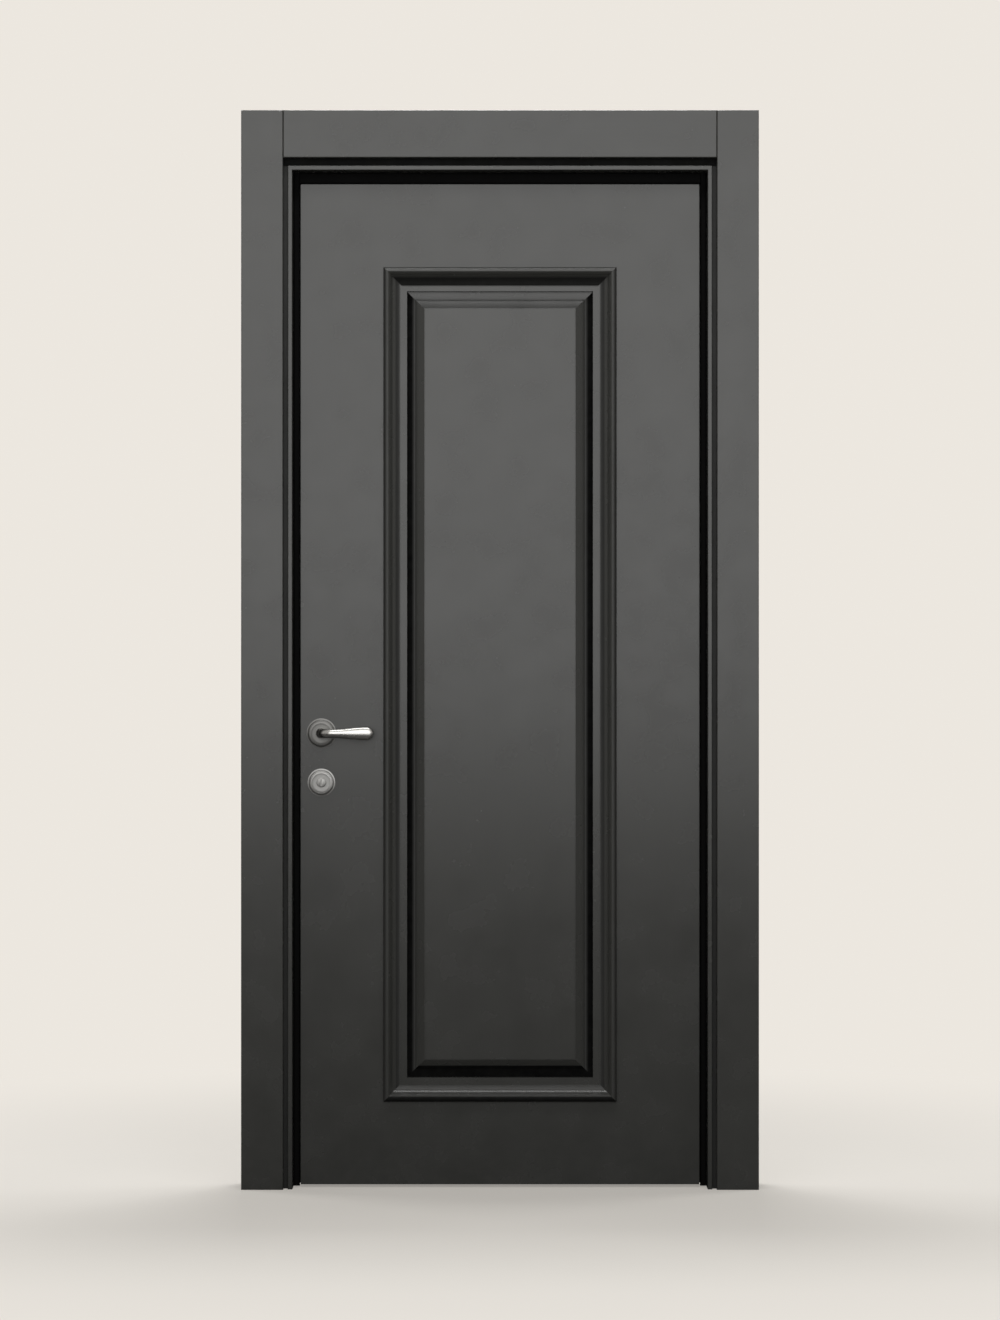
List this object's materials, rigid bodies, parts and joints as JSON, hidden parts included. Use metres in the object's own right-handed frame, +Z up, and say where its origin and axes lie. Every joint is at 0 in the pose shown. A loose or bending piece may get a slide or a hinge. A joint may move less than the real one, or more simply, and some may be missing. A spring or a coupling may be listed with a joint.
{
  "type": "panelled wooden door with frame",
  "caption": "Lacquered single-leaf door with a raised panel in a bolection moulding, in its cased frame with seals, hinges, mortise lock and lever handles.",
  "frame": {"origin": "on the floor, in the middle of the door's width and of the leaf's thickness", "axes": "+X across the door towards the hinges, +Y through the wall towards the side the leaf opens to, +Z up"},
  "size_m": [1.036, 0.155, 2.16],
  "materials": {
    "lacquered_wood": "satin dark grey lacquer",
    "seal_rubber": "matt black rubber",
    "lever_metal": "polished nickel plate",
    "rose_metal": "satin nickel plate",
    "hinge_steel": "satin steel",
    "lock_steel": "zinc plated steel"
  },
  "bodies": {
    "frame": {"hinge_jamb": "lacquered_wood", "lock_jamb": "lacquered_wood", "head_jamb": "lacquered_wood", "front_casing_left": "lacquered_wood", "front_casing_right": "lacquered_wood", "front_casing_head": "lacquered_wood", "back_casing_left": "lacquered_wood", "back_casing_right": "lacquered_wood", "back_casing_head": "lacquered_wood", "gasket_left": "seal_rubber", "gasket_right": "seal_rubber", "gasket_head": "seal_rubber", "strike_plate": "lock_steel", "strike_screws": "lock_steel", "hinge_frame_plate_bottom": "hinge_steel", "hinge_frame_plate_middle": "hinge_steel", "hinge_frame_plate_top": "hinge_steel", "hinge_frame_screws": "hinge_steel", "hinge_pins": "hinge_steel"},
    "leaf": {"lock_stile": "lacquered_wood", "hinge_stile": "lacquered_wood", "top_rail": "lacquered_wood", "bottom_rail": "lacquered_wood", "panel": "lacquered_wood", "front_moulding_left": "lacquered_wood", "front_moulding_right": "lacquered_wood", "front_moulding_top": "lacquered_wood", "front_moulding_bottom": "lacquered_wood", "back_moulding_left": "lacquered_wood", "back_moulding_right": "lacquered_wood", "back_moulding_top": "lacquered_wood", "back_moulding_bottom": "lacquered_wood", "hinge_leaf_plate_bottom": "hinge_steel", "hinge_leaf_plate_middle": "hinge_steel", "hinge_leaf_plate_top": "hinge_steel", "hinge_leaf_screws": "hinge_steel", "lock_case": "lock_steel", "lock_cover": "lock_steel", "forend": "lock_steel", "forend_screws": "lock_steel", "latch_spring": "lock_steel", "front_rose": "rose_metal", "back_rose": "rose_metal", "rose_bolts": "lock_steel", "front_escutcheon": "rose_metal", "back_escutcheon": "rose_metal", "escutcheon_bolts": "lock_steel"},
    "handle": {"front_lever": "lever_metal", "back_lever": "lever_metal", "spindle": "lock_steel", "lever_follower": "lock_steel"},
    "latch": {"latch_bolt": "lock_steel"},
    "bolt": {"deadbolt": "lock_steel"},
    "turn": {"thumb_turn": "lever_metal", "release_turn": "rose_metal", "turn_spindle": "lock_steel", "turn_follower": "lock_steel"}
  },
  "joints": [
    {"name": "leaf_swing", "type": "hinge", "parent": "frame", "child": "leaf", "pos_m": [0.426, 0.0325, 0], "axis": [0, 0, -1], "range_deg": [0, 110]},
    {"name": "handle_turn", "type": "hinge", "parent": "leaf", "child": "handle", "pos_m": [-0.359, 0, 0.913], "axis": [0, 1, 0], "range_deg": [0, 40], "stiffness_Nm_per_rad": 1.5, "springref_deg": -20.05},
    {"name": "latch_slide", "type": "slide", "parent": "leaf", "child": "latch", "axis": [1, 0, 0], "range_m": [0, 0.012], "deforming": ["latch_spring"]},
    {"name": "turn_rotate", "type": "hinge", "parent": "leaf", "child": "turn", "pos_m": [-0.359, 0, 0.814], "axis": [0, -1, 0], "range_deg": [0, 90]},
    {"name": "bolt_slide", "type": "slide", "parent": "leaf", "child": "bolt", "axis": [-1, 0, 0], "range_m": [0, 0.02]}
  ],
  "couplings": [
    {"joint": "latch_slide", "follows": "handle_turn", "m_per_rad": 0.017188},
    {"joint": "turn_rotate", "follows": "bolt_slide", "rad_per_m": 78.53}
  ]
}
